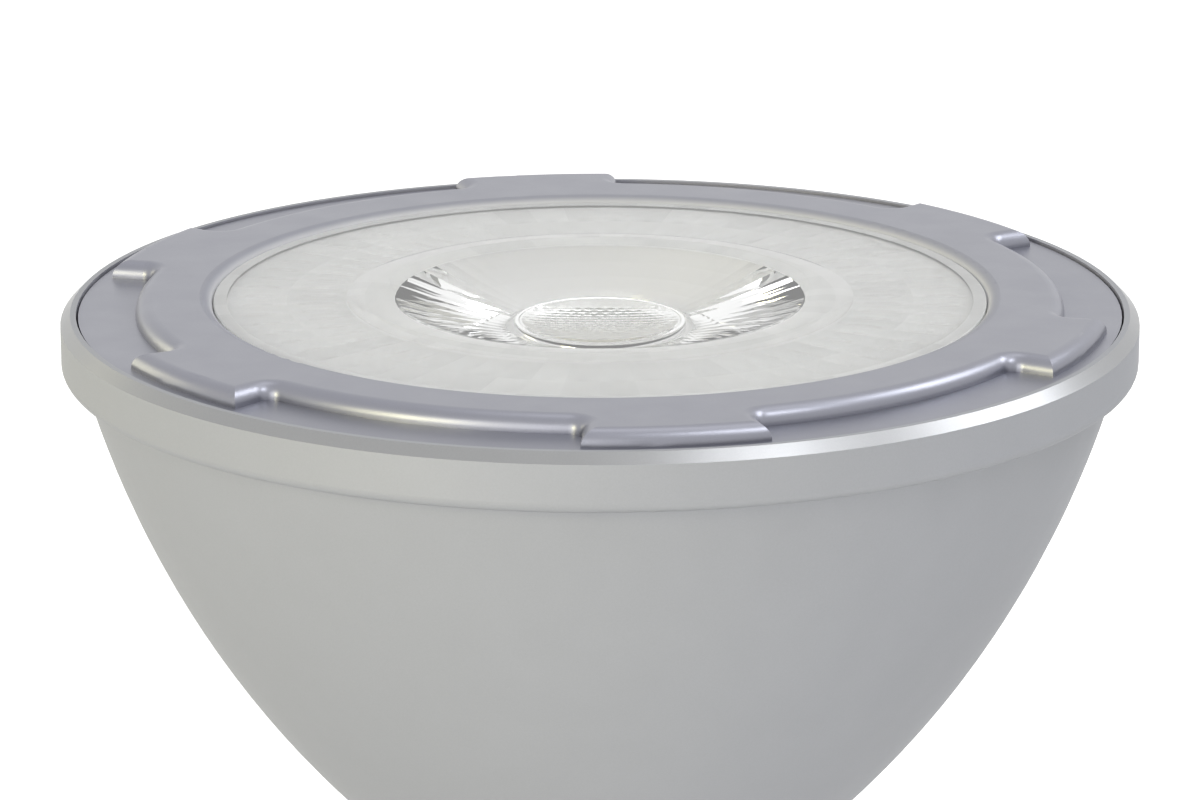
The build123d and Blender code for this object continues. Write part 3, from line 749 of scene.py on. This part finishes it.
def shell_tree():
    """Rolls a sheet into a threaded shell: its width goes round, its length goes up and back down inside."""
    tree = bpy.data.node_groups.new("Rolled screw shell", "GeometryNodeTree")
    tree.interface.new_socket(name="Geometry", in_out="INPUT", socket_type="NodeSocketGeometry")
    for name in ("Pitch", "Groove", "Sheet", "Crest Radius", "Foot Radius", "Bottom", "Top"):
        group_input(tree, name, "NodeSocketFloat", 0.0)
    group_input(tree, "Material", "NodeSocketMaterial", None)
    source = tree.nodes.new("NodeGroupInput").outputs
    grid = tree.nodes.new("GeometryNodeMeshGrid")
    grid.inputs["Size X"].default_value = 1.0
    grid.inputs["Size Y"].default_value = 2.0
    grid.inputs["Vertices X"].default_value = SHELL_COLUMNS
    grid.inputs["Vertices Y"].default_value = SHELL_ROWS
    place = tree.nodes.new("GeometryNodeInputPosition").outputs[0]
    split = tree.nodes.new("ShaderNodeSeparateXYZ")
    tree.links.new(place, split.inputs[0])
    turn = math_node(tree, "MULTIPLY", split.outputs["X"], 2 * math.pi)
    inside = math_node(tree, "GREATER_THAN", split.outputs["Y"], 0.0)
    share = math_node(tree, "SUBTRACT", 1.0, math_node(tree, "ABSOLUTE", split.outputs["Y"]))
    tall = math_node(tree, "SUBTRACT", source["Top"], source["Bottom"])
    height = math_node(tree, "ADD", source["Bottom"], math_node(tree, "MULTIPLY", share, tall))
    rises = math_node(tree, "DIVIDE", height, source["Pitch"])
    turns = math_node(tree, "SUBTRACT", rises, split.outputs["X"])
    wave = math_node(tree, "COSINE", math_node(tree, "MULTIPLY", turns, 2 * math.pi))
    depth = math_node(tree, "MULTIPLY", math_node(tree, "SUBTRACT", 1.0, wave), 0.5)
    start = smooth_step(tree, share, *THREAD_START)
    above = smooth_step(tree, share, *THREAD_STOP)
    stop = math_node(tree, "SUBTRACT", 1.0, above)
    depth = math_node(tree, "MULTIPLY", math_node(tree, "MULTIPLY", depth, source["Groove"]), start)
    depth = math_node(tree, "MULTIPLY", depth, stop)
    neck = math_node(tree, "MULTIPLY", math_node(tree, "MULTIPLY", source["Groove"], NECK_SHARE), above)
    cone = smooth_step(tree, share, *SHOULDER)
    swell = math_node(tree, "SUBTRACT", source["Crest Radius"], source["Foot Radius"])
    radius = math_node(tree, "ADD", source["Foot Radius"], math_node(tree, "MULTIPLY", swell, cone))
    radius = math_node(tree, "SUBTRACT", math_node(tree, "SUBTRACT", radius, depth), neck)
    radius = math_node(tree, "SUBTRACT", radius, math_node(tree, "MULTIPLY", source["Sheet"], inside))
    point = tree.nodes.new("ShaderNodeCombineXYZ")
    tree.links.new(math_node(tree, "MULTIPLY", radius, math_node(tree, "COSINE", turn)), point.inputs["X"])
    tree.links.new(math_node(tree, "MULTIPLY", radius, math_node(tree, "SINE", turn)), point.inputs["Y"])
    tree.links.new(height, point.inputs["Z"])
    move = tree.nodes.new("GeometryNodeSetPosition")
    tree.links.new(grid.outputs["Mesh"], move.inputs["Geometry"])
    tree.links.new(point.outputs[0], move.inputs["Position"])
    merge = tree.nodes.new("GeometryNodeMergeByDistance")
    merge.inputs["Distance"].default_value = SHELL_SEAM
    tree.links.new(move.outputs[0], merge.inputs["Geometry"])
    finish_tree(tree, merge.outputs[0], source["Material"])
    return tree


class LAMP_OT_metalwork(bpy.types.Operator):
    """Paints the bowl and the front bezel."""

    bl_idname = "lamp.metalwork"
    bl_label = "Paint the bowl and bezel"

    def execute(self, context):
        colours = context.scene.lamp_colours
        dress("housing", metallic_paint("bowl_paint", colours.bowl, 0.50, 0.56, 0.4, 0.3))
        dress("front_bezel", metallic_paint("bezel_paint", colours.bezel, 0.32, 0.38))
        # The window's inward faces get paint that pales lower down: a painted sheen for the light the round
        # reflects
        heights = [FACE_Z - depth for depth in PAINTED_SHEEN_DEPTHS]
        slope = painted_sheen_paint("window_painted_sheen_paint", colours.bezel, colours.slope, *heights)
        paint_faces("front_bezel", slope, FACE_Z - WINDOW_DEPTH, looks_in)
        # The lip's inward faces get a lighter copy of the paint: painted light that lifts the dark shade
        # inside the lip
        lip = metallic_paint("lip_painted_light_paint", colours.lip, 0.55, 0.65)
        paint_faces("housing", lip, FACE_Z - RIM_DEPTH, looks_in)
        chamfer = metallic_paint("chamfer_paint", colours.chamfer, 0.30, 0.36)
        paint_faces("housing", chamfer, FACE_Z - RIM_DEPTH, looks_out_and_up)
        dress("lens_gasket", moulded_plastic("gasket_silicone", (0.62, 0.62, 0.60), 0.45, 0.55))
        return {"FINISHED"}


class LAMP_OT_lens(bpy.types.Operator):
    """Builds the lens: bead, milky plate, faceted collimator and bumpy entry."""

    bl_idname = "lamp.lens"
    bl_label = "Build the lens"

    def execute(self, context):
        sizes = context.scene.lamp_lens
        values = {
            "Pitch": sizes.bump_pitch,
            "Height": sizes.bump_height,
            "Material": clear_plastic("clear_lens_plastic", sizes.tint, 0.0),
            "Etched Material": etched_plastic("etched_lens_plastic", sizes.milk),
            # The paler ring's plastic carries the painted highlight under the bead
            "Painted Highlight Material": etched_plastic("painted_highlight_lens_plastic", sizes.painted_light_colour),
            "Border Material": etched_plastic("border_lens_plastic", sizes.border),
        }
        mesh = grown_mesh("faceted_lens", lens_mesh("lens_start", sizes), relief_tree(), values)
        place_piece("faceted_lens", mesh, "lens")
        return {"FINISHED"}


class LAMP_OT_screw_shell(bpy.types.Operator):
    """Rolls the threaded screw shell."""

    bl_idname = "lamp.screw_shell"
    bl_label = "Roll the screw shell"

    def execute(self, context):
        sizes = context.scene.lamp_shell
        plate = bare_metal("shell_plating", sizes.metal, 0.2, 0.32, (1, 1, 6))
        values = {
            "Pitch": sizes.pitch,
            "Groove": sizes.groove,
            "Sheet": sizes.sheet,
            "Crest Radius": SHELL_HIGH.x,
            "Foot Radius": sizes.foot_radius,
            "Bottom": SHELL_LOW.z,
            "Top": SHELL_HIGH.z,
            "Material": plate,
        }
        mesh = grown_mesh("threaded_shell", bpy.data.meshes.new("shell_start"), shell_tree(), values)
        shape = bmesh.new()
        shape.from_mesh(mesh)
        bmesh.ops.recalc_face_normals(shape, faces=shape.faces)
        for face in shape.faces:
            face.smooth = True
        shape.to_mesh(mesh)
        shape.free()
        place_piece("threaded_shell", mesh, "screw_shell")
        return {"FINISHED"}


class LAMP_OT_base(bpy.types.Operator):
    """Finishes the base body, the insulator and the tip."""

    bl_idname = "lamp.base"
    bl_label = "Finish the base"

    def execute(self, context):
        colours = context.scene.lamp_colours
        dress("base_body", moulded_plastic("base_plastic", colours.base, 0.38, 0.46))
        dress("tip_insulator", moulded_plastic("insulator_glass", (0.013, 0.013, 0.015), 0.16, 0.28, 0.15))
        dress("tip_contact", bare_metal("tip_solder", (0.56, 0.55, 0.53), 0.28, 0.45))
        return {"FINISHED"}


class LAMP_OT_light_source(bpy.types.Operator):
    """Finishes the light source, its holder and the heat spreader."""

    bl_idname = "lamp.light_source"
    bl_label = "Finish the light source"

    def execute(self, context):
        colours = context.scene.lamp_colours
        steel = bare_metal("screw_steel", (0.52, 0.52, 0.52), 0.25, 0.4)
        dress("heat_spreader", bare_metal("spreader_aluminium", (0.72, 0.72, 0.73), 0.3, 0.45))
        dress("spreader_screws", steel)
        dress("holder_screws", steel)
        dress("thermal_pad", moulded_plastic("thermal_pad_grey", (0.30, 0.33, 0.38), 0.7, 0.8))
        dress("array_board", moulded_plastic("array_ceramic", (0.78, 0.78, 0.75), 0.35, 0.5))
        dress("phosphor_disc", moulded_plastic("phosphor_cover", colours.phosphor, 0.3, 0.4))
        dress("array_holder", moulded_plastic("holder_plastic", colours.cup, 0.4, 0.5))
        dress("lens_cup", moulded_plastic("cup_plastic", colours.cup, 0.5, 0.6))
        return {"FINISHED"}


class LAMP_OT_driver(bpy.types.Operator):
    """Finishes the driver's board, parts and wires."""

    bl_idname = "lamp.driver"
    bl_label = "Finish the driver"

    def execute(self, context):
        plastics = {
            "driver_board": ("circuit_board", (0.03, 0.16, 0.06), 0.35, 0.45),
            "transformer_core": ("ferrite", (0.05, 0.05, 0.052), 0.6, 0.75),
            "transformer_winding": ("winding_tape", (0.72, 0.56, 0.08), 0.3, 0.4),
            "output_capacitor": ("can_sleeve", (0.02, 0.022, 0.03), 0.25, 0.35),
            "input_capacitor": ("can_sleeve_tall", (0.025, 0.026, 0.034), 0.25, 0.35),
            "film_capacitor": ("film_case", (0.42, 0.05, 0.03), 0.3, 0.4),
            "choke": ("shrink_sleeve", (0.02, 0.02, 0.02), 0.4, 0.5),
            "varistor": ("varistor_coat", (0.03, 0.12, 0.42), 0.35, 0.45),
            "fuse_resistor": ("fuse_coat", (0.10, 0.30, 0.18), 0.4, 0.5),
            "bridge_rectifier": ("rectifier_package", (0.02, 0.02, 0.02), 0.4, 0.5),
            "power_switch": ("switch_package", (0.022, 0.022, 0.022), 0.4, 0.5),
            "control_chip": ("chip_package", (0.018, 0.018, 0.018), 0.4, 0.5),
            "led_wire_positive": ("red_insulation", (0.50, 0.02, 0.02), 0.35, 0.45),
            "led_wire_negative": ("black_insulation", (0.015, 0.015, 0.015), 0.35, 0.45),
            "live_wire": ("live_insulation", (0.016, 0.016, 0.017), 0.35, 0.45),
            "neutral_wire": ("white_insulation", (0.72, 0.72, 0.70), 0.35, 0.45),
        }
        for node, (name, colour, low, high) in plastics.items():
            dress(node, moulded_plastic(name, colour, low, high))
        return {"FINISHED"}


def seen_white(tree):
    """1 for rays from the camera and for mirrored and refracted rays, 0 for the rest."""
    rays = tree.nodes.new("ShaderNodeLightPath").outputs
    first = math_node(tree, "MAXIMUM", rays["Is Camera Ray"], rays["Is Glossy Ray"])
    return math_node(tree, "MAXIMUM", first, rays["Is Transmission Ray"])


def add_softbox(name, place, aim, side, power, colour):
    """A square soft light aimed at a point."""
    light = bpy.data.lights.new(name, "AREA")
    light.shape = "SQUARE"
    light.size = side
    light.energy = power
    light.color = colour
    lamp = bpy.data.objects.new(name, light)
    lamp.visible_camera = False
    lamp.location = place
    lamp.rotation_euler = (Vector(aim) - Vector(place)).to_track_quat("-Z", "Y").to_euler()
    bpy.context.scene.collection.objects.link(lamp)


class LAMP_OT_stage(bpy.types.Operator):
    """Sets up the camera, the floor and the light."""

    bl_idname = "lamp.stage"
    bl_label = "Set up the studio"

    def execute(self, context):
        sizes = context.scene.lamp_stage
        scene = context.scene
        scene.view_settings.view_transform = "Standard"
        camera = bpy.data.cameras.new("photo_camera")
        camera.lens = sizes.focal_length
        camera.sensor_width = 36.0
        camera.clip_start = 0.01
        viewer = bpy.data.objects.new("photo_camera", camera)
        viewer.location = (0, -sizes.camera_distance, sizes.camera_height)
        look = Vector((0, 0, sizes.aim_height)) - viewer.location
        viewer.rotation_euler = look.to_track_quat("-Z", "Y").to_euler()
        scene.collection.objects.link(viewer)
        scene.camera = viewer

        world = bpy.data.worlds.new("white_studio")
        world.use_nodes = True
        tree = world.node_tree
        tree.nodes.clear()
        output = tree.nodes.new("ShaderNodeOutputWorld")
        mix = tree.nodes.new("ShaderNodeMixShader")
        for i, strength in ((1, sizes.plain_level), (2, 1.0)):
            light = tree.nodes.new("ShaderNodeBackground")
            light.inputs["Color"].default_value = (1, 1, 1, 1)
            light.inputs["Strength"].default_value = strength
            tree.links.new(light.outputs[0], mix.inputs[i])
        tree.links.new(seen_white(tree), mix.inputs[0])
        tree.links.new(mix.outputs[0], output.inputs["Surface"])
        scene.world = world

        mesh = bpy.data.meshes.new("studio_floor")
        signs = ((-1, -1), (1, -1), (1, 1), (-1, 1))
        mesh.from_pydata([(x * FLOOR_REACH, y * FLOOR_REACH, 0) for x, y in signs], [], [(0, 1, 2, 3)])
        floor = bpy.data.objects.new("studio_floor", mesh)
        scene.collection.objects.link(floor)
        material = bpy.data.materials.new("floor_white")
        material.use_nodes = True
        tree = material.node_tree
        tree.nodes.clear()
        output = tree.nodes.new("ShaderNodeOutputMaterial")
        matt = tree.nodes.new("ShaderNodeBsdfDiffuse")
        matt.inputs["Color"].default_value = (*sizes.floor_tint, 1)
        glow = tree.nodes.new("ShaderNodeEmission")
        strength = math_node(tree, "MULTIPLY", seen_white(tree), FLOOR_GLOW)
        tree.links.new(strength, glow.inputs["Strength"])
        both = tree.nodes.new("ShaderNodeAddShader")
        tree.links.new(matt.outputs[0], both.inputs[0])
        tree.links.new(glow.outputs[0], both.inputs[1])
        tree.links.new(both.outputs[0], output.inputs["Surface"])
        mesh.materials.append(material)

        aim = (0, 0, FACE_Z)
        for name, (place, side, power, colour) in SOFTBOXES.items():
            add_softbox(name, place, aim, side, power, colour)
        return {"FINISHED"}


OPERATORS = (
    LAMP_OT_metalwork,
    LAMP_OT_lens,
    LAMP_OT_screw_shell,
    LAMP_OT_base,
    LAMP_OT_light_source,
    LAMP_OT_driver,
    LAMP_OT_stage,
)


class LAMP_PT_panel(bpy.types.Panel):
    """Lists the lamp's pieces and the studio."""

    bl_idname = "LAMP_PT_panel"
    bl_label = "Reflector lamp"
    bl_space_type = "VIEW_3D"
    bl_region_type = "UI"
    bl_category = "Lamp"

    def draw(self, context):
        for operator in OPERATORS:
            self.layout.operator(operator.bl_idname)


GROUPS = {
    "lamp_lens": LensSizes,
    "lamp_shell": ShellSizes,
    "lamp_colours": FinishColours,
    "lamp_stage": StageSizes,
}


def register():
    """Registers the sizes, the operators and the panel."""
    for name, group in GROUPS.items():
        bpy.utils.register_class(group)
        setattr(bpy.types.Scene, name, bpy.props.PointerProperty(type=group))
    for operator in OPERATORS:
        bpy.utils.register_class(operator)
    bpy.utils.register_class(LAMP_PT_panel)


def unregister():
    """Removes what register added."""
    bpy.utils.unregister_class(LAMP_PT_panel)
    for operator in reversed(OPERATORS):
        bpy.utils.unregister_class(operator)
    for name, group in reversed(GROUPS.items()):
        delattr(bpy.types.Scene, name)
        bpy.utils.unregister_class(group)


def main():
    """Registers the sizes and operators, then builds every piece and the studio."""
    register()
    bpy.ops.lamp.metalwork()
    bpy.ops.lamp.lens()
    bpy.ops.lamp.screw_shell()
    bpy.ops.lamp.base()
    bpy.ops.lamp.light_source()
    bpy.ops.lamp.driver()
    bpy.ops.lamp.stage()


if __name__ == "__main__":
    main()
